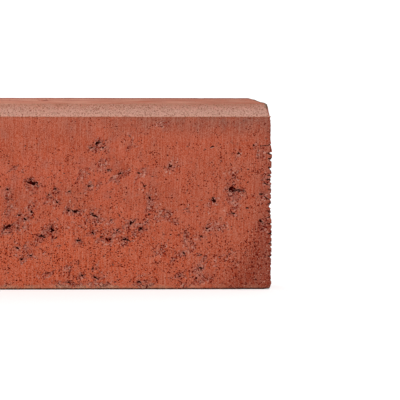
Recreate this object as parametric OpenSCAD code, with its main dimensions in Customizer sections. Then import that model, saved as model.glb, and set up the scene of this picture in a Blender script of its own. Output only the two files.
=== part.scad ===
// Garden kerb: one unit of pressed concrete, with a chamfer along its front top edge.
// It stands on its base with +Z up. Its length runs along X and its chamfered front faces -Y.
// The origin is at the middle of the base.

/* [Unit] */
// Length of the unit along the run of kerb
unit_length = 1000; // [200:10:1200]
// Thickness from front to back
unit_thickness = 80; // [40:1:160]
// Height from the base to the top
unit_height = 250; // [100:5:400]

/* [Edges] */
// How far the chamfer comes back across the top
chamfer_across = 15; // [6:1:30]
// How far the chamfer comes down the front
chamfer_down = 15; // [6:1:30]
// Radius that the mould leaves along the long edges
long_edge_radius = 2; // [0.5:0.5:4]
// Radius that the mould leaves round the two ends
end_edge_radius = 1.5; // [0.5:0.5:4]

/* [Hidden] */
$fn = 48;

// Corners of the section, looking along +X, with the front on the left.
front_y = -unit_thickness / 2;
back_y = unit_thickness / 2;
section_corners = [
    [front_y, 0],
    [back_y, 0],
    [back_y, unit_height],
    [front_y + chamfer_across, unit_height],
    [front_y, unit_height - chamfer_down]
];

function rectangle_corners(low, high) =
    [low, [high[0], low[1]], high, [low[0], high[1]]];

function unit_vector(v) = v / norm(v);

// Directions from corner i of an outline towards its two neighbours.
function to_previous(corners, i) =
    unit_vector(corners[(i + len(corners) - 1) % len(corners)] - corners[i]);
function to_next(corners, i) =
    unit_vector(corners[(i + 1) % len(corners)] - corners[i]);

// Half of the angle between the two sides that meet at corner i.
function half_angle(corners, i) =
    acos(to_previous(corners, i) * to_next(corners, i)) / 2;

// The two points where an arc of this radius leaves the sides at corner i.
function arc_ends(corners, i, radius) =
    let (setback = radius / tan(half_angle(corners, i)))
    [
        corners[i] + setback * to_previous(corners, i),
        corners[i] + setback * to_next(corners, i)
    ];

function arc_centre(corners, i, radius) =
    corners[i] + radius / sin(half_angle(corners, i))
        * unit_vector(to_previous(corners, i) + to_next(corners, i));

// A convex outline with every corner rounded by a true arc.
module rounded_outline(corners, radius) {
    polygon([
        for (i = [0 : len(corners) - 1])
            each arc_ends(corners, i, radius)
    ]);
    for (i = [0 : len(corners) - 1])
        translate(arc_centre(corners, i, radius))
            circle(r = radius);
}

// The section, drawn out along the length.
module long_form() {
    translate([-unit_length / 2, 0, 0])
        rotate([90, 0, 90])
            linear_extrude(unit_length)
                rounded_outline(section_corners, long_edge_radius);
}

// The plan, drawn up through the height. It rounds the upright edges of the ends.
module plan_form() {
    linear_extrude(unit_height)
        rounded_outline(
            rectangle_corners([-unit_length / 2, front_y], [unit_length / 2, back_y]),
            end_edge_radius
        );
}

// The elevation, drawn through the thickness. It rounds the level edges of the ends.
module elevation_form() {
    translate([0, back_y, 0])
        rotate([90, 0, 0])
            linear_extrude(unit_thickness)
                rounded_outline(
                    rectangle_corners([-unit_length / 2, 0], [unit_length / 2, unit_height]),
                    end_edge_radius
                );
}

module kerb() {
    color("#a85540")
        intersection() {
            long_form();
            plan_form();
            elevation_form();
        }
}

kerb();
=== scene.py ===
import bpy
import bmesh
import math
import random
from mathutils import Matrix, Vector, kdtree, noise


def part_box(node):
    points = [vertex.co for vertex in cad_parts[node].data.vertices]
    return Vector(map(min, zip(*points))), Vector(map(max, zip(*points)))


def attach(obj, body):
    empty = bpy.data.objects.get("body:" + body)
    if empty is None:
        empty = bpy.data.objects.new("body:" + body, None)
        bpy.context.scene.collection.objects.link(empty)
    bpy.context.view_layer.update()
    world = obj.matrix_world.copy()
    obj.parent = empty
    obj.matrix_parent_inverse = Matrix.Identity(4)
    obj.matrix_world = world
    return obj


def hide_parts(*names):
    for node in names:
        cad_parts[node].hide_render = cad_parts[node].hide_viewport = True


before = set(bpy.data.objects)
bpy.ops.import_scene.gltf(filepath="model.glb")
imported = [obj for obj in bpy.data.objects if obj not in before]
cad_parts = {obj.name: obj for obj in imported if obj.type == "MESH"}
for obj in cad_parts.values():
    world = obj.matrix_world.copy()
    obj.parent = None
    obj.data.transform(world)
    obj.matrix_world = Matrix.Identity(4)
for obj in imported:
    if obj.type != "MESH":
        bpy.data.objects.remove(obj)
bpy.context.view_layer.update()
print("frame loaded")

mm = 0.001
low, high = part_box("kerb")
rng = random.Random(250)


# camera

cameraValues = {
    "aim": (0.4063, 0.0, 0.1162),  # middle of the view, in metres
    "distance": 25.0,
    "turn": 17.0,  # degrees round towards the left end
    "down": 7.15,  # degrees
    "roll": 2.14,  # degrees, which shares the slope between level and upright edges
    "lens": 1671.0,  # mm, on a sensor 36 mm wide
    "sensor": 36,
    "farthest": 400,  # metres
}


def addObject(name, data):
    made = bpy.data.objects.new(name, data)
    bpy.context.scene.collection.objects.link(made)
    return made


def makeCamera(v):
    data = bpy.data.cameras.new("camera")
    data.sensor_width = v["sensor"]
    data.lens = v["lens"]
    data.clip_end = v["farthest"]
    camera = addObject("camera", data)
    facing = Matrix.Identity(4)
    for angle, axis in ((-v["turn"], "Z"), (90 - v["down"], "X"), (v["roll"], "Z")):
        facing = facing @ Matrix.Rotation(math.radians(angle), 4, axis)
    back = facing.to_3x3() @ Vector((0, 0, 1))
    camera.matrix_world = Matrix.Translation(Vector(v["aim"]) + back * v["distance"]) @ facing
    bpy.context.scene.camera = camera


makeCamera(cameraValues)
print("camera placed")


# the sides of the block, each with a corner to measure from

form = {
    "chamfer": 15,  # mm across and down
    "cell": 14,  # mm, the plain grid of the sides
    "arrisRows": (1.6, 4.2),  # mm in from every arris, where the wear needs points
    "arrisStep": 3.6,  # mm between points along an arris
    "crumbledStep": 2.3,  # mm, along the upright arrises, where the mould's ends leaked
    "crumbledFine": 1.4,  # mm, on the front one at the right end
    "sway": 0.25,  # mm, how far the sides wander from flat
    "slump": 8.5,  # mm, how far the ends stand in at the top, as the mould flares for drawing off
    "arrisWear": 0.75,  # mm off a square arris
    "arrisChip": 1.1,  # mm
    "chamferWear": 0.25,  # of that, on the blunter arrises of the chamfer
    "arrisReach": 2.8,  # mm, how far from the arris the wear goes
    "crumbledChip": 3.0,  # mm, on the upright arrises
    "crumbledReach": 6.5,  # mm
    "crumbledTop": 55,  # mm below the top, above which the upright arrises are sound
    "endWear": 2.4,  # mm off the upper arrises of the ends, which are knocked in handling
    "endReach": 7.0,  # mm
    "cornerWear": 3.0,  # mm more at the back corners of the top
    "knocked": [
        # corners of the right end that were knocked off: the place, where it went, how far round it (mm)
        ((0.5, 0.04, 0.25), (-1.4, -2.2, -3.0), 12),
        ((0.5, 0.012, 0.25), (-0.6, 0.0, -0.8), 20),
        ((0.5, -0.03, 0.246), (-3.8, 0.0, -0.5), 12),
        ((0.5, -0.04, 0.235), (-2.4, 0.3, 0.0), 14),
        ((0.5, -0.04, 0.216), (-2.2, 0.0, 0.0), 24),
        ((0.5, -0.04, 0.0), (-2.4, 0.6, 3.0), 8),
    ],
}
chamfer = form["chamfer"] * mm


def makeSide(corner, along, up, width, height):
    along = Vector(along).normalized()
    up = Vector(up).normalized()
    out = up.cross(along)
    return {"corner": Vector(corner), "along": along, "up": up, "out": out, "width": width, "height": height}


length, thickness, tall = high - low
sides = {
    "front": makeSide((high.x, low.y, low.z), (-1, 0, 0), (0, 0, 1), length, tall - chamfer),
    "back": makeSide((low.x, high.y, low.z), (1, 0, 0), (0, 0, 1), length, tall),
    "rightEnd": makeSide((high.x, high.y, low.z), (0, -1, 0), (0, 0, 1), thickness, tall),
    "leftEnd": makeSide((low.x, low.y, low.z), (0, 1, 0), (0, 0, 1), thickness, tall),
    "top": makeSide((high.x, low.y + chamfer, high.z), (-1, 0, 0), (0, 1, 0), length, thickness - chamfer),
    "chamfer": makeSide((high.x, low.y, high.z - chamfer), (-1, 0, 0), (0, 1, 1), length, chamfer * 2 ** 0.5),
    "base": makeSide((high.x, high.y, low.z), (-1, 0, 0), (0, -1, 0), length, thickness),
}


uprights = ("front", "back")


def pointOn(name, along, up):
    s = sides[name]
    return s["corner"] + s["along"] * along + s["up"] * up


def smoothStep(a, b, x):
    t = min(max((x - a) / (b - a), 0.0), 1.0)
    return t * t * (3 - 2 * t)


def slumpAt(p):
    # how far the ends stand in, more the higher up
    nearEnd = smoothStep(high.x - 60 * mm, high.x, abs(p.x))
    return Vector((-math.copysign(form["slump"] * mm * nearEnd * p.z / tall, p.x), 0, 0))


def depthsUnder(p):
    # how far p lies under each side, the nearest first
    return sorted(((s["corner"] - p).dot(s["out"]), name) for name, s in sides.items())


# damage: what tore or stuck when the wet block left its mould

frontMarks = {
    # from the right end, above the base, long, high (mm), and lean (degrees) where it leans
    "hole": [
        (331, 145, 20, 12, -25), (364, 136, 6, 4), (298, 136, 6, 4, -25), (306, 128, 6, 3, -10),
        (280, 133, 5, 3), (295, 118, 9, 4, -20), (280, 107, 6, 5), (268, 106, 13, 6),
        (242, 99, 15, 5, -25), (212, 157, 6, 4, 20), (227, 162, 6, 3), (252, 140, 8, 4, -10),
        (346, 101, 8, 4, -25), (339, 96, 10, 4, -20), (329, 105, 8, 5, -35), (361, 85, 15, 9, 15),
        (348, 83, 7, 6), (301, 81, 8, 11, 15), (316, 73, 12, 5, -15), (346, 56, 9, 4, -25),
        (328, 46, 5, 3), (340, 41, 6, 6), (264, 66, 12, 4, -20), (246, 77, 7, 3, -30),
        (235, 71, 4, 3), (222, 68, 8, 4), (213, 80, 5, 3, 30), (194, 91, 9, 6, 35),
        (202, 68, 11, 6, -10), (258, 19, 7, 5, -30), (244, 28, 5, 4, 70), (239, 16, 12, 4, -30),
        (276, 10, 6, 3), (170, 102, 5, 3), (180, 83, 9, 6, 20), (83, 120, 9, 7, -35),
        (56, 103, 10, 3, -5), (15, 92, 9, 6, -30), (92, 83, 7, 5, -20), (99, 72, 4, 4),
        (121, 49, 8, 4, -30), (98, 47, 4, 3), (98, 29, 10, 4), (180, 10, 9, 5, -20),
        (126, 18, 4, 3), (103, 15, 4, 3), (243, 199, 11, 8, 40), (251, 192, 8, 3, 5),
        (236, 192, 4, 3), (187, 158, 7, 4, -20), (144, 167, 8, 6), (179, 140, 4, 4),
        (171, 125, 9, 4, -50), (52, 185, 5, 3, -30), (29, 195, 4, 3), (15, 129, 12, 4, -3),
        (62, 137, 13, 10, -25), (55, 134, 24, 6, -3), (2, 155, 4, 3), (5, 149, 4, 3),
    ],
    "torn": [
        (297, 131, 8, 7), (281, 108, 10, 9), (240, 92, 13, 9, -20), (263, 157, 10, 13),
        (237, 171, 8, 9), (212, 155, 10, 8), (217, 149, 15, 11), (252, 140, 13, 8),
        (240, 143, 8, 6), (334, 109, 9, 8), (336, 95, 9, 6), (365, 78, 12, 8),
        (337, 84, 9, 8), (307, 78, 20, 14), (335, 57, 10, 8), (328, 48, 8, 7),
        (246, 76, 11, 8), (213, 79, 10, 9), (203, 85, 8, 6), (196, 90, 12, 10),
        (277, 29, 8, 9), (305, 20, 9, 6), (221, 93, 5, 6), (363, 121, 9, 8),
        (360, 113, 7, 5), (355, 164, 6, 5), (170, 117, 10, 14, -30), (170, 109, 8, 7),
        (150, 101, 22, 15, -10), (135, 92, 8, 6), (189, 76, 9, 6), (58, 122, 22, 13, -10),
        (54, 113, 14, 12), (15, 83, 10, 10), (90, 82, 12, 8), (70, 85, 9, 6, 20),
        (109, 58, 8, 9), (119, 72, 7, 16), (135, 42, 7, 5), (152, 52, 12, 12),
        (93, 43, 7, 6), (126, 19, 11, 8), (172, 7, 25, 8), (119, 6, 13, 6),
        (96, 12, 17, 8), (83, 15, 10, 4), (277, 6, 42, 7), (236, 6, 40, 7),
        (246, 191, 17, 8), (181, 160, 13, 8), (198, 194, 6, 9), (160, 223, 14, 7),
        (24, 180, 8, 6), (11, 148, 15, 17), (48, 128, 11, 9, -45), (57, 152, 5, 5),
        (120, 108, 6, 5), (362, 100, 6, 5),
    ],
    "slit": [
        (317, 142, 10, 1.8, -10), (299, 152, 4, 1.8, 80), (300, 112, 4, 2), (308, 86, 14, 2.0, 5),
        (335, 60, 9, 1.5), (266, 36, 6, 1.8), (316, 20, 4, 1.8, 80), (361, 7, 9, 2, 10),
        (292, 10, 10, 2, 8), (225, 133, 4, 2.2), (263, 85, 8, 1.8, -20), (274, 82, 7, 1.6, -15),
        (345, 160, 6, 1.6, -30), (330, 130, 8, 1.6), (160, 36, 8, 1.8, -10), (63, 44, 11, 2.2, 55),
        (52, 36, 12, 1.6, -5), (54, 50, 4, 1.6, 20), (152, 165, 8, 2.0, 10), (63, 200, 6, 1.8, -30),
        (56, 198, 5, 1.8, -30), (24, 179, 7, 1.8, 5), (49, 134, 10, 1.8, 20), (44, 133, 7, 2.2, 65),
        (67, 159, 4, 1.4), (258, 189, 4, 1.6),
    ],
    "gash": [
        # at the right arris, and open to the end
        (14, 195, 9, 1.3, -4), (4, 196, 10, 2.2, 3), (5, 184, 7, 2.0, -14), (3, 177, 6, 2.6, 8),
        (3, 164, 8, 3.2, -38), (4, 155, 6, 1.8, 5), (5, 149, 8, 2.2, -12), (9, 143, 8, 1.6, -20),
        (3, 136, 6, 2.0, 10), (8, 124, 9, 1.8, -22), (3, 117, 7, 2.8, 14), (3, 105, 7, 2.6, -30),
        (4, 98, 6, 1.8, 15), (3, 89, 5, 1.6), (3, 76, 6, 2.0, -10), (3, 62, 5, 1.6, 8), (3, 45, 5, 1.5),
    ],
    "pit": [
        (211, 101, 3, 3), (129, 74, 3, 3), (73, 44, 4, 3), (201, 208, 3, 2), (122, 194, 3, 2),
        (98, 190, 3, 2), (37, 163, 3, 2), (9, 205, 3, 2), (16, 155, 3, 2), (258, 60, 3, 2),
        (230, 45, 3, 2), (290, 60, 3, 2), (312, 50, 3, 2), (351, 65, 3, 2), (150, 75, 3, 2),
    ],
}

damage = {
    "stretch": 1.035,  # the marks above were measured on the slant, a little short of the face itself
    "bareFront": 385,  # mm from the right end, where the marks above end
    "markKinds": {"hole": 5, "torn": 5, "slit": 2},  # how common each is elsewhere
    "markLong": (4, 10),  # mm
    "markLean": (-8, 28),  # degrees, its mean and spread
    "markMargin": 6,  # mm inside the arrises
    "marksPerSide": {"front": 92, "back": 100, "rightEnd": 14, "leftEnd": 14, "top": 6, "base": 10},
    "pitsPerSide": {
        "front": 310, "back": 120, "rightEnd": 40, "leftEnd": 40, "top": 20, "chamfer": 30, "base": 12,
    },
    "pitsHere": 210,  # more on the bare front
    "pitSizes": {0.6: 8, 0.8: 6, 1.05: 2.5, 1.6: 0.4},  # mm, and how common each is
    "bites": [
        # out of the right arris: above the base, high, how far in (mm)
        (196, 2.4, 3.0), (184.7, 3.6, 4.2), (174.7, 3.8, 3.5), (162.6, 5.0, 3.5), (155, 3.0, 2.4),
        (150, 5.0, 3.3), (145.5, 4.4, 3.5), (138, 3.0, 2.6), (129.8, 3.2, 3.0), (121, 4.4, 3.3),
        (114.5, 4.8, 4.0), (111.6, 4.4, 5.2), (107, 5.4, 3.7), (102, 4.4, 3.0), (97.8, 3.2, 2.8),
        (88, 3.0, 2.4), (81, 3.0, 2.3), (72, 2.6, 2.2), (64, 2.6, 2.0), (57, 2.8, 2.2), (49, 2.6, 2.0),
        (43, 3.6, 2.8), (36, 2.6, 2.0), (31, 4.6, 2.5), (20, 2.8, 2.0),
    ],
    "biteShade": 0.45,  # they stand in the light, so they get less painted shade than a hole
    "notches": {("right", "front"): 12, ("right", "back"): 16, ("left", "front"): 16, ("left", "back"): 16},
    "notchSize": (0.7, 1.6),  # mm up the arris
    "notchLong": (1.2, 3.4),  # mm
    "notchDeep": (3, 9),  # mm
    "notchSpan": (8, 45),  # mm left free above the base, and left free in all
    "quietTop": 48,  # mm below the top where the faces carry few marks
    "grain": 3.2,  # mm, the stones that show in a torn place
    "tornDepth": 0.9,  # mm
    "fineHere": 2.2,  # mm, the mesh in the marks of the bare front
    "fineElsewhere": 3.4,
    "markReach": 36,  # mm, the furthest that a mark is felt
    "skirtDepth": 12,  # mm under the face, the furthest that a mark roughens it
    "edge": 2.5,  # mm, how near the arrises pits come
    "layers": 8,
}


def leaning(side, angle):
    # the long and the high axis of a mark on a side; a positive angle rises to the right
    c, d = math.cos(angle), math.sin(angle)
    along, up = sides[side]["along"], sides[side]["up"]
    return up * d - along * c, up * c + along * d


def makeMark(side, along, up, long, tallness, lean, kind, fine):
    longAxis, highAxis = leaning(side, math.radians(lean))
    return {
        "side": side,
        "centre": pointOn(side, along * mm, up * mm),
        "longAxis": longAxis,
        "highAxis": highAxis,
        "out": sides[side]["out"],
        "long": long * mm / 2,
        "high": tallness * mm / 2,
        "kind": kind,
        "fine": fine * mm,
        "seed": Vector((len(marks) * 7.3, 0, 0)),
    }


marks = []
for kind, places in frontMarks.items():
    for along, up, long, tallness, *lean in places:
        along *= damage["stretch"]
        marks.append(makeMark("front", along, up, long, tallness, sum(lean), kind, damage["fineHere"]))
for name, count in damage["marksPerSide"].items():
    width, height = sides[name]["width"] / mm, sides[name]["height"] / mm
    margin, kinds = damage["markMargin"], damage["markKinds"]
    for i in range(count):
        kind = rng.choices(list(kinds), list(kinds.values()))[0]
        long = rng.uniform(*damage["markLong"]) * (1.8 if rng.random() < 0.2 else 1)
        tallness = long * rng.uniform(0.3, 0.75)
        if kind == "torn":
            long, tallness = long * 1.3, tallness * 1.6
        if kind == "slit":
            tallness = rng.uniform(1.5, 2.5)
        along = rng.uniform(damage["bareFront"] if name == "front" else margin, width - margin)
        up = rng.uniform(margin, height - margin)
        if height > 200 and up > tall / mm - damage["quietTop"] and rng.random() < 0.75:
            up *= rng.random()
        lean = rng.gauss(*damage["markLean"])
        tallness = min(tallness, height * 0.4)
        marks.append(makeMark(name, along, up, long, tallness, lean, kind, damage["fineElsewhere"]))
markTree = kdtree.KDTree(len(marks))
for i, mark in enumerate(marks):
    markTree.insert(mark["centre"], i)
markTree.balance()


def awayFrom(mark, p):
    # distance from the middle of the mark's torn skirt, 1 at its rim; a hole's skirt hangs below it
    away = p - mark["centre"]
    if abs(away.dot(mark["out"])) > damage["skirtDepth"] * mm:
        return math.inf
    u, v = away.dot(mark["longAxis"]), away.dot(mark["highAxis"])
    if mark["kind"] == "hole":
        v += mark["high"] * 0.6
        return math.hypot(u / (mark["long"] * 1.1 + 0.9 * mm), v / (mark["high"] * 1.6 + 1 * mm))
    return math.hypot(u / (mark["long"] + 1 * mm), v / (mark["high"] + 1.5 * mm))


def joinsEnd(names, others):
    # an upright arris joins an end to the front or the back
    return len({"rightEnd", "leftEnd"} & set(names)) == 1 and len(set(others) & set(names)) == 1


def crumbledAt(p, under):
    # 1 where an upright arris has crumbled, 0 on sound skin
    away = under[1][0] / mm
    if away > form["crumbledReach"] * 1.3 or not joinsEnd([name for depth, name in under[:2]], uprights):
        return 0.0
    along = Vector((p.x * 9, p.y * 9, p.z * 42))
    patch = smoothStep(-0.35, 0.3, noise.noise(along) + 0.4 * noise.noise(along * 2.7))
    patch *= smoothStep(high.z, high.z - form["crumbledTop"] * mm, p.z)
    reach = form["crumbledReach"] * (0.35 + 0.65 * patch) * (1 + 0.5 * noise.noise(p * 230))
    return patch * smoothStep(reach, reach * 0.3, away)


def marksNear(p):
    return [marks[i] for _, i, _ in markTree.find_range(p, damage["markReach"] * mm)]


def tornAt(p):
    # 1 inside the ragged outline of a torn place, 0 outside
    most = crumbledAt(p, depthsUnder(p))
    for mark in marksNear(p):
        away = awayFrom(mark, p)
        if away < 1.8:
            ragged = 0.4 * noise.noise(p * 260 + mark["seed"]) + 0.2 * noise.noise(p * 700)
            strength = 0.4 if mark["kind"] in ("slit", "pit", "gash") else 1.0
            most = max(most, strength * smoothStep(1.15, 0.65, away + ragged))
    return most


print("marks placed:", len(marks))


# the block, cut finer where it is worn

def bisectAll(bm, where, direction):
    whole = bm.verts[:] + bm.edges[:] + bm.faces[:]
    bmesh.ops.bisect_plane(bm, geom=whole, dist=1e-7, plane_co=where, plane_no=direction)


def makeBlock():
    bm = bmesh.new()
    bmesh.ops.create_cube(bm, size=1)
    bmesh.ops.scale(bm, vec=high - low, verts=bm.verts)
    bmesh.ops.translate(bm, vec=(low + high) / 2, verts=bm.verts)
    frontTop = [e for e in bm.edges if all(v.co.y < 0 and v.co.z > tall / 2 for v in e.verts)]
    bmesh.ops.bevel(bm, geom=frontTop, offset=chamfer, segments=1, profile=0.5, affect="EDGES", material=-1)
    cell = form["cell"] * mm
    for number, across in enumerate(Matrix.Identity(3)):
        for i in range(1, round((high - low)[number] / cell)):
            bisectAll(bm, across * (low[number] + i * cell), across)
    for s in sides.values():
        for row in form["arrisRows"]:
            bisectAll(bm, s["corner"] - s["out"] * row * mm, s["out"])
    bmesh.ops.triangulate(bm, faces=bm.faces)
    return bm


def longestHere(p):
    # the longest edge that the mesh may keep at p, in metres
    longest = 1.0
    under = depthsUnder(p)
    if under[1][0] < 1.7 * mm:
        names = {under[0][1], under[1][1]}
        step = "crumbledStep" if joinsEnd(names, uprights) else "arrisStep"
        if names == {"front", "rightEnd"}:
            step = "crumbledFine"
        longest = form[step] * mm
        if "base" in names:
            longest *= 2
    elif crumbledAt(p, under) > 0.2:
        longest = form["crumbledStep"] * 1.4 * mm
    for mark in marksNear(p):
        if mark["fine"] < longest and awayFrom(mark, p) < 1.25:
            longest = mark["fine"]
    return longest


def refine(bm):
    long = [e for e in bm.edges if e.calc_length() > 1.35 * longestHere((e.verts[0].co + e.verts[1].co) / 2)]
    bmesh.ops.subdivide_edges(bm, edges=long, cuts=1)
    bmesh.ops.triangulate(bm, faces=[f for f in bm.faces if len(f.verts) > 3])


block = makeBlock()
for i in range(4):
    refine(block)
print("block cut:", len(block.faces))


def grainRelief(p, size):
    # 0 on the stones and 1 in the gaps between them
    near = noise.voronoi(p / (size * mm))[0]
    return 1 - smoothStep(0.05, 0.55, near[1] - near[0])


def weather(bm):
    # moves the skin; what p is multiplied by for the noise is its lumps per metre
    moves = []
    for v in bm.verts:
        p = v.co.copy()
        under = depthsUnder(p)
        names = [name for depth, name in under[:2]]
        out = sides[names[0]]["out"]
        betweenTwo = -(out + sides[names[1]]["out"]).normalized()
        move = Vector()
        if names[0] != "base":
            move -= out * (0.5 + 0.5 * noise.noise(p * 14)) * form["sway"] * mm
        move += slumpAt(p)
        torn = tornAt(p)
        if torn > 0.01:
            rough = 0.5 + 0.5 * noise.noise(p * 420)
            relief = 0.2 + grainRelief(p, damage["grain"]) + 0.5 * rough
            move -= out * torn * damage["tornDepth"] * mm * relief
        reach = form["arrisReach"] * mm
        if under[1][0] < reach:
            near = [sides[name]["out"] for depth, name in under if depth < reach]
            inward = -sum(near, Vector()).normalized()
            rough = 0.5 + 0.5 * noise.noise(p * 380)
            chips = smoothStep(0.1, 0.5, noise.noise(p * 60))
            chips += 0.5 * smoothStep(0.1, 0.5, noise.noise(p * 170))
            amount = form["arrisWear"] * (0.7 + 0.6 * rough)
            amount += form["arrisChip"] * chips * (0.4 + 0.6 * rough)
            if "chamfer" in names:
                amount *= form["chamferWear"]
            if "base" in names:
                amount *= 1.4
            move += inward * amount * mm * (1 - under[1][0] / reach) ** 2
        reach = form["endReach"] * mm
        if under[1][0] < reach and joinsEnd(names, ("top", "chamfer")):
            corner = smoothStep(high.y - 30 * mm, high.y, p.y)
            rough = 1 + 0.8 * noise.noise(p * 110) + 0.4 * noise.noise(p * 320)
            amount = (form["endWear"] + form["cornerWear"] * corner) * rough
            move += betweenTwo * amount * mm * (1 - under[1][0] / reach) ** 2
        for corner, push, reach in form["knocked"]:
            share = 1 - (p - Vector(corner)).length / (reach * mm)
            if share > 0:
                move += Vector(push) * mm * share * (1 + 0.5 * noise.noise(p * 300))
        crumbled = crumbledAt(p, under)
        if crumbled > 0.01:
            bite = smoothStep(-0.1, 0.5, noise.noise(Vector((p.x * 40, p.y * 40, p.z * 210))))
            crack = smoothStep(0.2, 0.0, abs(noise.noise(Vector((p.x * 50, p.y * 50, p.z * 150 + 9)))))
            rough = 0.35 * noise.noise(p * 420)
            share = max(0.0, 1 - under[1][0] / (form["crumbledReach"] * mm))
            relief = 0.1 + 0.5 * bite + 0.5 * crack + rough
            move += betweenTwo * crumbled * form["crumbledChip"] * mm * relief * share
        moves.append(move)
    for v, move in zip(bm.verts, moves):
        v.co += move


weather(block)
print("sides and arrises worn")


def markSkin(bm):
    # how torn the skin is, kept through the cutting that follows
    # painted shade of the hollows, 0 on the skin until the lumps bring theirs
    bm.faces.layers.float.new("shadedHollow")
    torn = bm.loops.layers.float.new("torn")
    for v in bm.verts:
        here = tornAt(v.co)
        for loop in v.link_loops:
            loop[torn] = here


markSkin(block)


# crisp holes: rough lumps that are cut out of the block

lumps = []


def addLump(side, centre, longAxis, highAxis, long, tallness, deep, detail, dark=1.0):
    # a lump's faces carry painted shade for its hollow, less where it takes away an arris that stands in the
    # light
    lumps.append({
        "centre": centre + slumpAt(centre), "longAxis": longAxis, "highAxis": highAxis,
        "out": sides[side]["out"], "long": long, "high": tallness, "deep": deep, "detail": detail,
        "reach": max(long, tallness) * 1.3, "dark": dark,
    })


def turned(mark, angle):
    c, d = math.cos(angle), math.sin(angle)
    return mark["longAxis"] * c + mark["highAxis"] * d, mark["highAxis"] * c - mark["longAxis"] * d


def addCrevice(mark, place, angle, reach, size):
    # a wandering chain of lumps that thins out at its end
    steps = max(2, round(reach / (size * 2.3)))
    for i in range(steps):
        share = 1 - (i / steps) ** 1.5
        angle += rng.gauss(0, 0.35)
        longAxis, highAxis = turned(mark, angle)
        width = size * (0.45 + 0.55 * share) * rng.uniform(0.7, 1.25)
        deep = width * rng.uniform(1.1, 1.8) + 0.9 * mm
        detail = 2 if width > 1.2 * mm else 1
        addLump(mark["side"], place, longAxis, highAxis, width * rng.uniform(1.7, 2.5), width, deep, detail)
        place = place + longAxis * size * rng.uniform(2.0, 2.6)


def addCrumbs(mark, count, nearest, furthest):
    # small lumps lost round a hole
    for i in range(count):
        angle, away = rng.uniform(0, math.tau), rng.uniform(nearest, furthest)
        place = mark["centre"] + mark["longAxis"] * math.cos(angle) * away * (mark["long"] + 1 * mm)
        place += mark["highAxis"] * (math.sin(angle) * away * 1.3 - 0.4) * (mark["high"] + 1 * mm)
        size = rng.uniform(0.5, 0.9) * mm
        axes = turned(mark, rng.gauss(0, 0.7))
        addLump(mark["side"], place, *axes, size * rng.uniform(1, 2.2), size, 1.6 * mm, 1)


def addHole(mark):
    # a small deep core, lesser ones beside it, arms that wander off, and crumbs lost around them
    long, tallness, here = mark["long"], mark["high"], mark["fine"] < 3 * mm
    big = long * tallness > 12 * mm * mm
    core = mark["centre"] + mark["longAxis"] * long * rng.uniform(-0.3, 0.3)
    axes = turned(mark, rng.gauss(0, 0.3))
    detail = 3 if big else 2
    addLump(mark["side"], core, *axes, long * 0.46 + 0.5 * mm, tallness * 0.5 + 0.4 * mm, 4.5 * mm, detail)
    for i in range(3 + round(long * tallness / (16 * mm * mm)) if big else 1):
        place = core + mark["longAxis"] * rng.choice([1, -1]) * long * rng.uniform(0.2, 0.75)
        place += mark["highAxis"] * tallness * rng.uniform(-0.6, 0.6)
        axes = turned(mark, rng.gauss(0, 0.6))
        size = rng.uniform(0.12, 0.26)
        across, upwards = long * size + 0.4 * mm, tallness * size + 0.4 * mm
        addLump(mark["side"], place, *axes, across, upwards, 2.8 * mm, 2 if big and i % 2 else 1)
    arms = rng.choice([3, 4, 5]) if big and here else rng.choice([1, 2])
    for i in range(arms):
        side = rng.choice([1, -1])
        angle = rng.gauss(0, 0.32) + (math.pi if side < 0 else 0)
        place = core + mark["longAxis"] * side * long * rng.uniform(0.3, 0.6)
        place += mark["highAxis"] * tallness * rng.uniform(-0.5, 0.5)
        size = rng.uniform(0.65, 1.05) if big else rng.uniform(0.45, 0.7)
        addCrevice(mark, place, angle, long * rng.uniform(0.6, 1.2) + 1.5 * mm, size * mm)
    addCrumbs(mark, round((1 if here else 0) + long * tallness / (9 * mm * mm)), 0.5, 1.3)


def addPit(mark):
    addLump(mark["side"], mark["centre"], *turned(mark, 0), mark["long"], mark["high"], 2 * mm, 1)


def addTear(mark):
    # small gaps between the stones of a torn patch, more of them along its upper side
    each = 5.5 * mark["fine"] * mm
    count = max(3, round(mark["long"] * mark["high"] / each))
    for i in range(count):
        angle, away = rng.uniform(0, math.tau), math.sqrt(rng.random())
        u, v = away * math.cos(angle) * mark["long"], away * math.sin(angle) * mark["high"]
        v += 0.35 * mark["high"] * rng.random()
        size = rng.uniform(0.5, 1.0) * mm
        place = mark["centre"] + mark["longAxis"] * u + mark["highAxis"] * v
        axes = turned(mark, rng.gauss(0, 0.7))
        addLump(mark["side"], place, *axes, size * rng.uniform(1, 2.8), size, rng.uniform(1.3, 2.3) * mm, 1)


def addGash(mark):
    # a crack with ragged lips, deepest at the arris
    count = max(3, round(mark["long"] * 2 / (1.3 * mm)))
    angle = rng.gauss(0, 0.12)
    for i in range(count):
        share = (i + 0.5) / count * 2 - 1
        longAxis, highAxis = turned(mark, angle + rng.gauss(0, 0.2))
        place = mark["centre"] + turned(mark, angle)[0] * share * mark["long"]
        place += highAxis * rng.gauss(0, 0.25) * mm
        width = mark["high"] * rng.uniform(0.55, 1.05) * (1 - 0.45 * abs(share))
        deep = rng.uniform(4.0, 7.5) * mm if i > count - 4 else rng.uniform(2.5, 3.5) * mm
        long = rng.uniform(1.3, 2.0) * mm
        addLump(mark["side"], place, longAxis, highAxis, long, width + 0.15 * mm, deep, 2)


def addSlit(mark):
    place = mark["centre"] + mark["longAxis"] * mark["long"]
    addCrevice(mark, place, math.pi, mark["long"] * 2, mark["high"] * 0.9)


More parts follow.
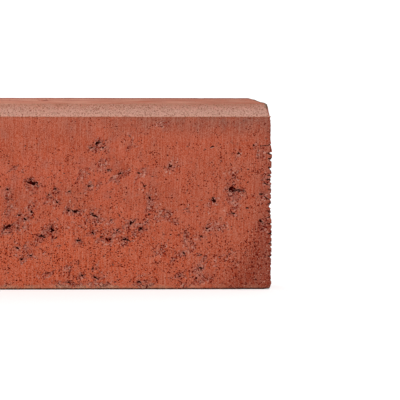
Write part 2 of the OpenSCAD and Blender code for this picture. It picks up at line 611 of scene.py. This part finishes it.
for mark in marks:
    {"hole": addHole, "torn": addTear, "slit": addSlit, "pit": addPit, "gash": addGash}[mark["kind"]](mark)
pitCounts = [(name, count, sides[name]["width"]) for name, count in damage["pitsPerSide"].items()]
pitCounts.append(("front", damage["pitsHere"], damage["bareFront"] * mm))
edge, sizes = damage["edge"] * mm, damage["pitSizes"]
for name, count, width in pitCounts:
    for i in range(count):
        size = rng.choices(list(sizes), list(sizes.values()))[0] * mm * rng.uniform(0.85, 1.2)
        if name == "chamfer":
            size *= 0.7
        up = rng.uniform(edge, sides[name]["height"] - edge)
        if up > tall - damage["quietTop"] * mm and rng.random() < 0.7:
            up *= rng.random()
        place = pointOn(name, rng.uniform(edge, width - edge), up)
        axes = leaning(name, rng.gauss(0, 0.7))
        long = size * rng.uniform(1.0, 2.2)
        addLump(name, place, *axes, long, size, size * rng.uniform(1.1, 1.8), 1)
for (end, name), count in damage["notches"].items():
    x, y = {"right": high.x, "left": low.x}[end], {"front": low.y, "back": high.y}[name]
    for i in range(count):
        up = (i + rng.random()) / count
        bottom, free = damage["notchSpan"]
        place = Vector((x, y, low.z + (bottom + up * (tall / mm - free)) * mm))
        size = rng.uniform(*damage["notchSize"]) * mm
        angle = rng.gauss(0, 0.25)
        axes = Vector((math.cos(angle), 0, math.sin(angle))), Vector((-math.sin(angle), 0, math.cos(angle)))
        long, deep = (rng.uniform(*damage[key]) * mm for key in ("notchLong", "notchDeep"))
        addLump(name, place, *axes, long, size, deep, 2)
for up, tallness, inTo in damage["bites"]:
    place = Vector((high.x, low.y, low.z + up * mm))
    axes = Vector((1, 0, 0)), Vector((0, 0, 1))
    long, deep = inTo * 1.1 * mm, inTo * 3.2 * mm
    addLump("front", place, *axes, long, tallness * 0.5 * mm, deep, 2, damage["biteShade"])
rng.shuffle(lumps)
print("lumps to cut:", len(lumps))


def makeLumps(layer):
    # rough balls, flattened into the side and widest at their mouths, all in one mesh
    bm = bmesh.new()
    shapes = bpy.data.meshes.new("lump")
    for lump in layer:
        ball = bmesh.new()
        bmesh.ops.create_icosphere(ball, subdivisions=lump["detail"], radius=1)
        # each lump's faces carry its painted shade
        shadedHollow = ball.faces.layers.float.new("shadedHollow")
        for f in ball.faces:
            f[shadedHollow] = lump["dark"]
        seed = lump["centre"] * 900
        swell = 0.85 if lump["detail"] > 2 else 0.42
        for v in ball.verts:
            rough = 1 + swell * noise.noise(v.co * 1.5 + seed)
            rough += swell * 0.4 * noise.noise(v.co * 3.6 + seed)
            p = v.co * rough
            reach = lump["longAxis"] * p.x * lump["long"] + lump["highAxis"] * p.y * lump["high"]
            v.co = lump["centre"] + reach + lump["out"] * p.z * lump["deep"]
        bmesh.ops.recalc_face_normals(ball, faces=ball.faces)
        ball.to_mesh(shapes)
        ball.free()
        bm.from_mesh(shapes)
    bpy.data.meshes.remove(shapes)
    return bm


def gapBetween(a, b):
    # lumps on one side only meet in its plane; round a corner their depth counts too
    around = 0.0 if a["out"] == b["out"] else max(0, a["deep"] - a["reach"]) + max(0, b["deep"] - b["reach"])
    return (a["centre"] - b["centre"]).length - a["reach"] - b["reach"] - around * 1.3


def sortIntoLayers():
    # no two lumps of a layer touch, and only those in neighbouring cells can
    cell = 24 * mm
    layers = [[] for _ in range(damage["layers"])]
    taken = [{} for _ in layers]
    steps = [(a, b, c) for a in (-1, 0, 1) for b in (-1, 0, 1) for c in (-1, 0, 1)]
    for lump in sorted(lumps, key=lambda q: -q["reach"]):
        home = tuple(math.floor(x / cell) for x in lump["centre"])
        for layer, filled in zip(layers, taken):
            around = [q for a, b, c in steps for q in filled.get((home[0] + a, home[1] + b, home[2] + c), ())]
            if all(gapBetween(q, lump) > 0 for q in around):
                layer.append(lump)
                filled.setdefault(home, []).append(lump)
                break
    return layers


def toObject(bm, name):
    mesh = bpy.data.meshes.new(name)
    bm.to_mesh(mesh)
    bm.free()
    return addObject(name, mesh)


def cutLayer(stone, layer):
    # cuts a layer of lumps out of the block at one go
    cutter = toObject(makeLumps(layer), "cutter")
    cut = stone.modifiers.new("cut", "BOOLEAN")
    cut.operation = "DIFFERENCE"
    cut.solver = "MANIFOLD"
    cut.object = cutter
    done = bpy.data.meshes.new_from_object(stone.evaluated_get(bpy.context.evaluated_depsgraph_get()))
    stone.modifiers.clear()
    stone.data = done
    bpy.data.objects.remove(cutter)


stone = toObject(block, "kerb_stone")
layers = sortIntoLayers()
print("lumps left out:", len(lumps) - sum(len(layer) for layer in layers))
for number, layer in enumerate(layers):
    cutLayer(stone, layer)
    print("layer", number, "lumps", len(layer), "faces", len(stone.data.polygons))


# finish the mesh: sharp rims, how deep each point is, and a flat sheet of all sides for baking

def layOut():
    # the sides one above another on the sheet, and the ends side by side
    margin = 6 * mm
    places, row = {}, margin
    for name in ("front", "chamfer", "top", "back", "base"):
        places[name] = (0.0, row)
        row += sides[name]["height"] + margin
    places["rightEnd"] = (margin, row)
    places["leftEnd"] = (2 * margin + tall, row)
    return places, row + thickness + margin


def cleanFolds(bm):
    # where two lumps just miss each other the cut leaves a wall with no thickness, or two edges in one place
    shortest = 0.0002 * mm
    for turn in range(8):
        bm.verts.index_update()
        sameCorners = {}
        for f in bm.faces:
            sameCorners.setdefault(tuple(sorted(v.index for v in f.verts)), []).append(f)
        walls = [f for pair in sameCorners.values() if len(pair) > 1 for f in pair]
        bmesh.ops.delete(bm, geom=walls, context="FACES")
        crowded = [e for e in bm.edges if len(e.link_faces) != 2 or e.calc_length() < shortest]
        print("walls with no thickness:", len(walls), "crowded edges:", len(crowded))
        if not crowded:
            break
        bmesh.ops.collapse(bm, edges=crowded)
    bmesh.ops.delete(bm, geom=[v for v in bm.verts if not v.link_faces], context="VERTS")


def underSide(s, middle, normal):
    # how far a face lies under a side, and nearer if it looks the same way
    return (s["corner"] - middle).dot(s["out"]) - 1.5 * mm * normal.dot(s["out"])


def finishMesh(stone):
    sharpAngle = math.radians(38)
    bm = bmesh.new()
    bm.from_mesh(stone.data)
    bmesh.ops.triangulate(bm, faces=[f for f in bm.faces if len(f.verts) > 3], ngon_method="EAR_CLIP")
    cleanFolds(bm)
    for e in bm.edges:
        e.smooth = len(e.link_faces) == 2 and e.calc_face_angle() < sharpAngle
    deep = bm.verts.layers.float.new("depth")
    for v in bm.verts:
        v[deep] = max(depthsUnder(v.co)[0][0], 0) / mm
    sheet = bm.loops.layers.uv.new("OFBake")
    places, sheetHeight = layOut()
    for f in bm.faces:
        f.smooth = True
        middle = f.calc_center_median()
        name = min(sides, key=lambda n: underSide(sides[n], middle, f.normal))
        s = sides[name]
        for loop in f.loops:
            away = loop.vert.co - s["corner"]
            u, v = away.dot(s["along"]), away.dot(s["up"])
            if name in ("rightEnd", "leftEnd"):
                u, v = v, u
            loop[sheet].uv = ((places[name][0] + u) / length, (places[name][1] + v) / sheetHeight)
    print("edges not shared by two faces:", sum(len(e.link_faces) != 2 for e in bm.edges))
    bm.to_mesh(stone.data)
    bm.free()
    print("triangles:", len(stone.data.polygons))


finishMesh(stone)
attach(stone, "root")
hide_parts("kerb")
print("stone finished")


# materials

def colour(hexCode):
    # sRGB hex to linear
    channels = [int(hexCode[i:i + 2], 16) / 255 for i in (1, 3, 5)]
    return tuple(c / 12.92 if c <= 0.04045 else ((c + 0.055) / 1.055) ** 2.4 for c in channels) + (1,)


def emptyTree(owner):
    owner.use_nodes = True
    owner.node_tree.nodes.clear()
    return owner.node_tree


def addNode(tree, kind, settings=None, inputs=()):
    # adds a node; an input given as a node is linked from that node's first output
    node = tree.nodes.new("ShaderNode" + kind)
    for key, value in (settings or {}).items():
        setattr(node, key, value)
    for key, value in inputs.items() if isinstance(inputs, dict) else enumerate(inputs):
        if isinstance(value, bpy.types.Node):
            value = next(socket for socket in value.outputs if socket.enabled)
        if isinstance(value, bpy.types.NodeSocket):
            tree.links.new(value, node.inputs[key])
        else:
            node.inputs[key].default_value = value
    return node


concreteValues = {
    "skin": "#C15B41",
    "skinDeep": "#B1543B",
    "skinWarm": "#CD5B37",
    "skinHigh": "#C56E56",  # under the chamfer
    "mauve": "#A36053",
    "mauveBand": "#8E584A",
    "grainPale": "#CC927C",
    "grainDark": "#8C2406",
    "stone": "#A25C4E",
    "stonePale": "#C88E7E",
    # painted shade of the pit that a lost stone leaves
    "stonePitShade": "#7E1400",
    "foot": "#944532",
    "endSkin": "#8E4738",
    # painted shade of a pinhole, also used where a grain is lost
    "shadedPinhole": "#5C0400",
    # painted shade inside the cut holes, the shallow and the deep
    "shallowHollowShade": "#7E1A06",
    "deepHollowShade": "#500400",
    "lipHighlight": "#D09A88",  # painted highlight on the upward-facing lower lip of a hole, where the light from above falls
    # the chamfer and the top: lime, and a painted sheen where the faces that look up catch the light from
    # above
    "chamfer": "#9C6350",
    "chamferPale": "#D6A898",
    "chamferDusty": "#A08068",
    "limePink": "#CF8C78",
    "limeRight": "#C28C84",
    "limeLine": "#D9B2A4",  # lower down on the chamfer
    "limeArrisHighlight": "#DAA593",  # along its lower arris, pale lime with a painted highlight where the arris catches the light
    "dirt": "#7E5040",
    "arrisDirt": "#A0644E",  # along its upper arris
    "grime": "#5E5443",  # on the knocked arrises
    "top": "#B26853",
    "topPale": "#DCA28C",
    "topBack": "#763630",  # along its back arris
    "underArris": "#8E4A35",  # the fringe under the chamfer
    "sandyFoot": "#B78A70",
    # painted shadow along the bottom of the face
    "dampFoot": "#4A2A20",
    "cloudSize": 45,  # mm
    "patchSize": 20,  # mm
    "swarmSize": 16,  # mm, loose swarms of pinholes
    "wipedSize": 6,  # mm, lime wiped lengthwise along the top
    "wipedSqueeze": 0.14,
    "sandSize": 0.78,  # mm
    "gritSize": 2.2,  # mm
    "stoneSize": 2.6,  # mm
    "ragged": 0.003,  # how far grit bends the outlines of stones and pinholes
    "streakWidth": 3.4,  # mm
    "streakLength": 70,  # mm
    "dragWidth": 1.9,  # mm, the finest lines that the mould drew
    "dragLength": 30,  # mm
    "shadedPinholeSpacing": 2.8,  # mm
    "crumbSize": 1.35,  # mm, lost grains, drawn as coarse as it takes for them to show
    "roughness": 0.9,
    "sheen": 0.04,  # a porous face mirrors less than a closed one
}

chamferLine = high.z - low.y - chamfer  # height less depth, all over the chamfer
chamferFoot = high.z - chamfer

# how strongly each layer shows, worked out step by step from the names above it: a range, smooth unless it
# says LINEAR, takes what it follows, where it starts and is full, and its least and most;
# a MULTIPLY_ADD takes what it starts from, then each part and its weight
concreteSteps = [
    # the skin: pigment clouds, upright streaks and mauve patches of cement
    ("cloudAmount", "clouds", 0.35, 0.65, 0.15),
    ("streakAmount", "streaks", 0.45, 0.75, 0, 0.34),
    ("mauveAmount", "patches", 0.5, 0.7, 0, 0.42),
    # warmer towards the foot, deeper towards the right end
    ("towardsFoot", "z", 0.14, 0.04, 0, 0.7),
    ("towardsRight", "x", 0.2, 0.5, 0, 0.75),
    # a mauve band under the chamfer, stronger to the right and paler to the left
    ("band", "z", high.z - 0.05, high.z - 0.018),
    ("bandRight", "LINEAR", "x", 0.15, 0.42, 0.1, 1),
    ("bandLeft", "LINEAR", "x", 0.1, 0.4, 0.5, 0),
    ("bandPatch", "patches", 0.35, 0.6, 0.55),
    ("bandAmount", "MULTIPLY", "band", "bandRight", "bandPatch"),
    ("paler", "MULTIPLY", "band", "bandLeft"),
    # a darker foot at the right end, and a dull strip up its arris
    ("footLine", "MULTIPLY_ADD", "z", "x", -1.45, "patches", 0.03),
    ("footAmount", "footLine", -0.56, -0.65, 0, 0.95),
    ("endZone", "x", 0.462, 0.494, 0, 0.6),
    # torn places: the skin is gone from some stones, which are pale or mauve, and others are lost, with
    # painted shade where their pit is
    ("tornShare", "MULTIPLY", "torn", 0.72),
    ("bare", "LESS_THAN", "stonesGreen", "tornShare"),
    ("bareAmount", "MULTIPLY", "bare", 0.74),
    ("tint", "MULTIPLY", "torn", 0.32),
    ("paleStone", "stonesRed", 0.45, 0.75),
    ("lost", "LESS_THAN", "stonesBlue", 0.26),
    # single grains of sand and drawn lines, paler or darker than the paste between them
    ("grain", "MULTIPLY_ADD", -0.15, "sandRed", 1, "drag", 0.3),
    ("sandy", "x", 0.3, 0.14, 0.9, 1.2),
    ("sandy", "MULTIPLY_ADD", "sandy", "footAmount", 0.8, "towardsFoot", 0.3, "bandAmount", 0.4),
    ("palest", "MULTIPLY_ADD", 1, "footAmount", -0.6, "bandAmount", -0.3, "towardsFoot", 0.35),
    ("paleGrain", "LINEAR", "grain", 0.5, 1.1, 0, 0.5),
    ("paleGrain", "MULTIPLY", "paleGrain", "palest"),
    ("darkGrain", "LINEAR", "grain", 0.4, 0, 0, 0.6),
    ("darkGrain", "MULTIPLY", "darkGrain", "sandy"),
    ("paleLine", "drag", 0.5, 0.75, 0, 0.18),
    ("paleLine", "MULTIPLY", "paleLine", "palest"),
    ("darkLine", "drag", 0.48, 0.25, 0, 0.22),
    # pinholes left by air, too small to be cut, shown as painted shade and a dent in the bump
    ("rarity", "LINEAR", "swarm", 0.38, 0.66, 0.94, 0.48),
    ("rarer", "z", 0.185, 0.21, 0, 0.18),
    ("rarity", "MULTIPLY_ADD", "rarity", "torn", -0.2, "rarer", 1, "endZone", -0.15),
    ("holeSize", "LINEAR", "holesGreen", 0, 1, 0.2, 0.35),
    ("isHole", "GREATER_THAN", "holesRed", "rarity"),
    ("inHole", "LESS_THAN", "holes", "holeSize"),
    ("shadedPinhole", "MULTIPLY", "isHole", "inHole"),
    # single grains lost from the skin, shown in the pinhole's painted shade: few on its sound parts, more low
    # down and at torn places
    ("lowDown", "z", 0.21, 0.18, 0.25),
    ("lowDown", "ADD", "lowDown", "endZone"),
    ("lowDown", "MINIMUM", "lowDown", 1),
    ("share", "swarm", 0.45, 0.65, 0, 0.1),
    ("share", "MULTIPLY_ADD", "share", "towardsFoot", 0.05),
    ("share", "MULTIPLY", "share", "lowDown"),
    ("share", "MULTIPLY_ADD", "share", "footAmount", 0.1, "torn", 0.06),
    ("lostGrain", "LESS_THAN", "crumbsRed", "share"),
    ("lostGrain", "MULTIPLY", "lostGrain", 0.95),
    ("bareShare", "MULTIPLY", "footAmount", 0.03),
    ("bareGrain", "LESS_THAN", "crumbsGreen", "bareShare"),
    ("bareGrain", "MULTIPLY", "bareGrain", 0.7),
    # the chamfer, pale with lime and with a painted sheen of the light from above, with dust and dirt on it
    ("slope", "MULTIPLY_ADD", "z", "y", -1, "grit", 2.4 * mm),
    ("onChamfer", "slope", chamferLine - 0.3 * mm, chamferLine + 0.4 * mm),
    ("chamferAmount", "MULTIPLY", "onChamfer", 0.8),
    ("pink", "patches", 0.45, 0.6, 0, 0.45),
    ("pinkRight", "MULTIPLY", "towardsRight", 0.3),
    ("lowLine", "z", high.z - 4 * mm, high.z - 10 * mm, 0, 0.4),
    ("arrisHighlightLine", "z", high.z - 11.5 * mm, high.z - 14 * mm, 0, 0.5),
    ("highLine", "z", high.z - 5 * mm, high.z - 1 * mm, 0, 0.9),
    ("highLine", "MULTIPLY", "highLine", "patches"),
    ("dusty", "MULTIPLY_ADD", "grit", "crumbsBlue", 0.3),
    ("dusty", "dusty", 0.6, 0.88, 0, 0.75),
    ("dirt", "LINEAR", "grit", 0.35, 0.65, 0, 0.3),
    ("dirt", "LESS_THAN", "crumbsGreen", "dirt"),
    ("dirt", "MULTIPLY", "dirt", 0.75),
    # the top, where the lime is wiped lengthwise, paler also with a painted sheen of the light from above
    ("onTop", "z", high.z - 1.0 * mm, high.z - 0.6 * mm),
    ("topAmount", "MULTIPLY", "onTop", 0.72),
    ("wipedAmount", "wiped", 0.3, 0.75),
    ("topRight", "MULTIPLY", "towardsRight", 0.7),
    ("dustyTop", "MULTIPLY", "dusty", 0.5),
    ("backLine", "y", 0.026, 0.034, 0, 0.9),
    # a ragged fringe on the face, just under the chamfer
    ("fringe", "z", chamferFoot - 4.0 * mm, chamferFoot - 1.2 * mm, 0, 0.9),
    ("onFace", "SUBTRACT", 1, "onChamfer"),
    ("fringeShare", "drag", 0.62, 0.35),
    ("nearFace", "LESS_THAN", "y", low.y + 5 * mm),
    ("fringe", "MULTIPLY", "fringe", "onFace", "fringeShare", "nearFace"),
    # grime at the upper arrises of both ends
    ("outwards", "ABSOLUTE", "x", 0),
    ("outwards", "MULTIPLY_ADD", "outwards", "grit", 12 * mm),
    ("grimeOut", "outwards", high.x - 12 * mm, high.x - 7 * mm),
    ("grimeUp", "z", high.z - 9 * mm, high.z - 4 * mm),
    ("grimePatch", "grit", 0.3, 0.6, 0.5, 0.9),
    ("grime", "MULTIPLY", "grimeOut", "grimeUp", "grimePatch"),
    # the foot: a sandy line where the block stood on its board, with painted shadow below it under the worn
    # bottom arris
    ("sandyLine", "z", 8.5 * mm, 3.4 * mm),
    ("sandyPatch", "patches", 0.42, 0.62, 0.25, 0.85),
    ("sandyLeft", "x", 0.42, 0.3, 0.35),
    ("sandyGrain", "LINEAR", "sandGreen", 0, 1, 0.4),
    ("sandyLine", "MULTIPLY", "sandyLine", "sandyPatch", "sandyLeft", "sandyGrain"),
    ("damp", "z", 2.7 * mm, 2.0 * mm, 0, 0.95),
    ("dampPatch", "grit", 0.66, 0.5, 0.3),
    ("damp", "MULTIPLY", "damp", "dampPatch"),
    # inside the holes, painted shade that darkens with depth, and a painted highlight on the upward-facing
    # lower lip
    ("deepShadeAmount", "depth", 0.3, 1.7),
    # painted highlight on a hole's lower lip, by how far its normal points up, only near the mouth
    ("lipHighlight", "upwards", 0.3, 0.9, 0, 0.75),
    ("shallow", "depth", 2.6, 0.8),
    ("lipHighlight", "MULTIPLY", "lipHighlight", "shallow"),
    # relief too fine for the mesh, in metres
    ("stoneRelief", "MULTIPLY", "stones", "torn"),
    ("relief", "MULTIPLY_ADD", 0, "sandRed", 0.25 * mm, "grit", 0.05 * mm, "streaks", 0.05 * mm,
     "shadedPinhole", -0.8 * mm, "stoneRelief", -0.75 * mm),
]

# each coat is a first colour and what lies over it in turn, an amount and a colour or an earlier coat
concreteCoats = {
    "tornStones": ("stone", ("paleStone", "stonePale"), ("lost", "stonePitShade")),
    "chamferLimeAndSheen": (
        "chamfer", ("sandBlue", "chamferPale"), ("pink", "limePink"), ("pinkRight", "limeRight"),
        ("lowLine", "limeLine"), ("arrisHighlightLine", "limeArrisHighlight"), ("highLine", "arrisDirt"),
        ("dusty", "chamferDusty"), ("dirt", "dirt"),
    ),
    "topLimeAndSheen": (
        "top", ("wipedAmount", "topPale"), ("topRight", "top"), ("dustyTop", "chamferDusty"),
        ("backLine", "topBack"),
    ),
    # painted shade inside the holes, darker with depth, under a painted highlight on the lower lip
    "paintedHollowShade": ("shallowHollowShade", ("deepShadeAmount", "deepHollowShade"), ("lipHighlight", "lipHighlight")),
    "whole": (
        "skinDeep", ("cloudAmount", "skin"), ("streakAmount", "skinWarm"), ("mauveAmount", "mauve"),
        ("towardsFoot", "skinWarm"), ("towardsRight", "skinDeep"), ("paler", "skinHigh"),
        ("bandAmount", "mauveBand"), ("footAmount", "foot"), ("endZone", "endSkin"), ("tint", "stone"),
        ("bareAmount", "tornStones"), ("paleGrain", "grainPale"), ("darkGrain", "grainDark"),
        ("paleLine", "grainPale"), ("darkLine", "grainDark"), ("shadedPinhole", "shadedPinhole"),
        ("lostGrain", "shadedPinhole"), ("bareGrain", "grainPale"), ("topAmount", "topLimeAndSheen"),
        ("chamferAmount", "chamferLimeAndSheen"), ("fringe", "underArris"), ("grime", "grime"),
        ("sandyLine", "sandyFoot"), ("damp", "dampFoot"), ("shadedHollow", "paintedHollowShade"),
    ),
}


def makeConcrete(v):
    # pigmented pressed concrete: matt, sandy, faintly streaked upright where the mould was drawn off
    material = bpy.data.materials.new("pigmented_pressed_concrete")
    tree = emptyTree(material)
    place = addNode(tree, "TexCoord").outputs["Object"]
    xyz = addNode(tree, "SeparateXYZ", {}, [place]).outputs
    facing = addNode(tree, "NewGeometry").outputs["Normal"]
    made = {"x": xyz["X"], "y": xyz["Y"], "z": xyz["Z"]}
    made["upwards"] = addNode(tree, "SeparateXYZ", {}, [facing]).outputs["Z"]
    for name in ("depth", "torn", "shadedHollow"):
        made[name] = addNode(tree, "Attribute", {"attribute_name": name}).outputs["Fac"]

    # patterns, from broad clouds to grit: size, how drawn out along each axis, detail, roughness
    for name, size, squeeze, detail, rough in (
        ("clouds", v["cloudSize"], (1, 1, 1), 2, 0.5),
        ("patches", v["patchSize"], (1, 1, 1), 2, 0.5),
        ("swarm", v["swarmSize"], (1, 1, 1), 2, 0.6),
        ("wiped", v["wipedSize"], (v["wipedSqueeze"], 1, 1), 2, 0.5),
        ("streaks", v["streakWidth"], (1, 1, v["streakWidth"] / v["streakLength"]), 2, 0.5),
        ("drag", v["dragWidth"], (1, 1, v["dragWidth"] / v["dragLength"]), 1, 0.5),
        ("grit", v["gritSize"], (1, 1, 1), 2, 0.7),
    ):
        drawn = addNode(tree, "Mapping", {}, {"Vector": place, "Scale": squeeze})
        settings = {"Vector": drawn, "Scale": 1000 / size, "Detail": detail, "Roughness": rough}
        made[name] = addNode(tree, "TexNoise", {}, settings)

    # single stones, pinholes and grains, each with three chance tones of its own
    gritColour = made["grit"].outputs["Color"]
    bent = addNode(tree, "Mix", {"data_type": "VECTOR"}, {0: v["ragged"], 4: place, 5: gritColour})
    for name, where, size, squeeze in (
        ("sand", place, v["sandSize"], (1, 1, 1)),
        ("stones", bent, v["stoneSize"], (1, 1, 1)),
        ("holes", bent, v["shadedPinholeSpacing"], (0.75, 1, 1.25)),
        ("crumbs", place, v["crumbSize"], (1, 1, 1)),
    ):
        drawn = addNode(tree, "Mapping", {}, {"Vector": where, "Scale": squeeze})
        made[name] = addNode(tree, "TexVoronoi", {}, {"Vector": drawn, "Scale": 1000 / size})
        tones = addNode(tree, "SeparateColor", {}, [made[name].outputs["Color"]]).outputs
        made.update({name + tone: tones[tone] for tone in ("Red", "Green", "Blue")})

    for name, how, *parts in concreteSteps:
        if how in made:
            how, parts = "SMOOTHSTEP", [how, *parts]
        parts = [made[part] if isinstance(part, str) else part for part in parts]
        if how in ("SMOOTHSTEP", "LINEAR"):
            made[name] = addNode(tree, "MapRange", {"interpolation_type": how}, parts)
            continue
        made[name], *parts = parts
        while parts:
            inputs = [made[name], parts.pop(0)]
            if how == "MULTIPLY_ADD":
                inputs = [inputs[1], parts.pop(0), made[name]]
            made[name] = addNode(tree, "Math", {"operation": how}, inputs)

    coats = {}
    for name, (first, *over) in concreteCoats.items():
        coat = colour(v[first])
        for amount, paint in over:
            paint = coats[paint] if paint in coats else colour(v[paint])
            coat = addNode(tree, "Mix", {"data_type": "RGBA"}, {0: made[amount], 6: coat, 7: paint})
        coats[name] = coat

    bump = addNode(tree, "Bump", {}, {"Strength": 1.0, "Distance": 1.0, "Height": made["relief"]})
    settings = {"Base Color": coats["whole"], "Normal": bump, "IOR": 1.5}
    settings.update({"Roughness": v["roughness"], "Specular IOR Level": v["sheen"]})
    shader = addNode(tree, "BsdfPrincipled", {}, settings)
    addNode(tree, "OutputMaterial", {}, {"Surface": shader})
    return material


stone.data.materials.clear()
stone.data.materials.append(makeConcrete(concreteValues))
print("concrete made")


# floor, light and world

studioValues = {
    "floorSize": 300,
    "floorColour": 0.85,
    "floorGlow": (0.28, 0.75),  # near and far, for the camera only: the floor is white and keeps its shadow
    "glowReach": (0.8, 5.0),  # metres from the middle, where near ends and far starts
    "lamps": {"key": (95, 1.6, (1.0, -2.3, 3.2)), "fill": (45, 3.0, (-1.6, 2.8, 2.4))},  # watts, size, place
    "lampAim": (0, 0, 0.12),
    "worldStrength": 0.45,
}


def makeFloor(v):
    bm = bmesh.new()
    bmesh.ops.create_grid(bm, x_segments=1, y_segments=1, size=v["floorSize"] / 2)
    floor = toObject(bm, "floor")
    material = bpy.data.materials.new("pale_floor")
    tree = emptyTree(material)
    seen = addNode(tree, "LightPath").outputs["Is Camera Ray"]
    place = addNode(tree, "TexCoord").outputs["Object"]
    away = addNode(tree, "VectorMath", {"operation": "LENGTH"}, [place]).outputs["Value"]
    lift = addNode(tree, "MapRange", {}, [away, *v["glowReach"], *v["floorGlow"]])
    glow = addNode(tree, "Math", {"operation": "MULTIPLY"}, [seen, lift])
    white = addNode(tree, "Emission", {}, {"Color": (1, 1, 1, 1), "Strength": glow})
    matt = addNode(tree, "BsdfDiffuse", {}, {"Color": (v["floorColour"],) * 3 + (1,)})
    both = addNode(tree, "AddShader", {}, [matt, white])
    addNode(tree, "OutputMaterial", {}, {"Surface": both})
    floor.data.materials.append(material)


def makeSoftbox(name, power, size, place, aim):
    data = bpy.data.lights.new(name, "AREA")
    data.shape = "DISK"
    data.size = size
    data.energy = power
    softbox = addObject(name, data)
    away = Vector(place) - Vector(aim)
    softbox.matrix_world = Matrix.Translation(place) @ away.to_track_quat("Z", "Y").to_matrix().to_4x4()


def makeWorld(v):
    world = bpy.data.worlds.new("studio")
    bpy.context.scene.world = world
    tree = emptyTree(world)
    seen = addNode(tree, "LightPath").outputs["Is Camera Ray"]
    strength = addNode(tree, "MapRange", {}, {"Value": seen, "To Min": v["worldStrength"], "To Max": 1.0})
    sky = addNode(tree, "Background", {}, {"Color": (1, 1, 1, 1), "Strength": strength})
    addNode(tree, "OutputWorld", {}, {"Surface": sky})


makeFloor(studioValues)
for name, (power, size, place) in studioValues["lamps"].items():
    makeSoftbox(name, power, size, place, studioValues["lampAim"])
makeWorld(studioValues)
bpy.context.scene.view_settings.view_transform = "Standard"
print("studio made")
